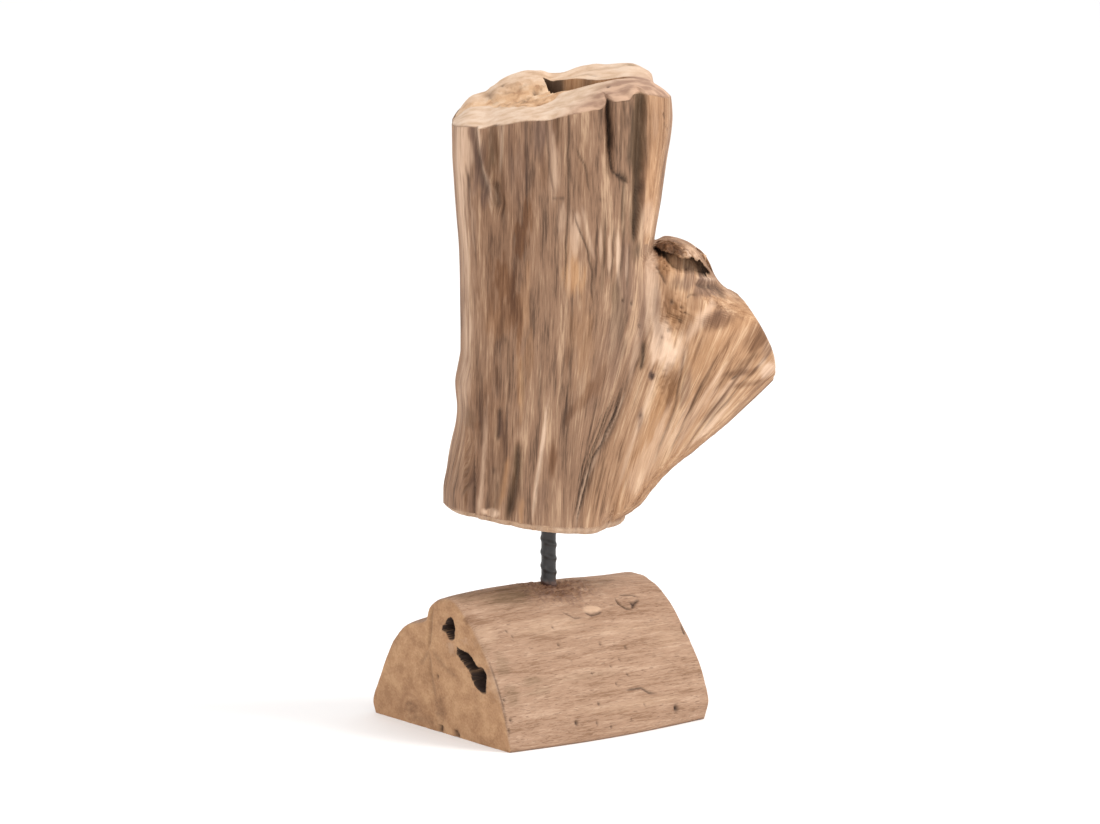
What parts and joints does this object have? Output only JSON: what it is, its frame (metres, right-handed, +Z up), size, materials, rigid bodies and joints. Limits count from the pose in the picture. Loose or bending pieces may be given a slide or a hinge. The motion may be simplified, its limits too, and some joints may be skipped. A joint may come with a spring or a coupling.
{
  "type": "teak root sculpture",
  "caption": "Sawn and sanded teak root with a side limb, held upright by a ribbed steel bar in a half-round teak log that lies flat as its stand.",
  "frame": {"origin": "middle of the base log's flat underside, on the axis of the steel bar", "axes": "+Z up along the steel bar; +X along the grain of the base log, towards its plain sawn end; +Y across the log, away from its long front side"},
  "size_m": [0.2052, 0.1688, 0.4067],
  "materials": {
    "log_wood": "dry sanded teak, uncoated, with dark cavities and drying cracks",
    "root_wood": "dry weathered and sanded teak root, uncoated, deeply grained",
    "black_paint": "thin black paint on ribbed steel bar"
  },
  "bodies": {
    "root": {"base_block": "log_wood", "root_block": "root_wood", "steel_rod": "black_paint"}
  },
  "joints": []
}
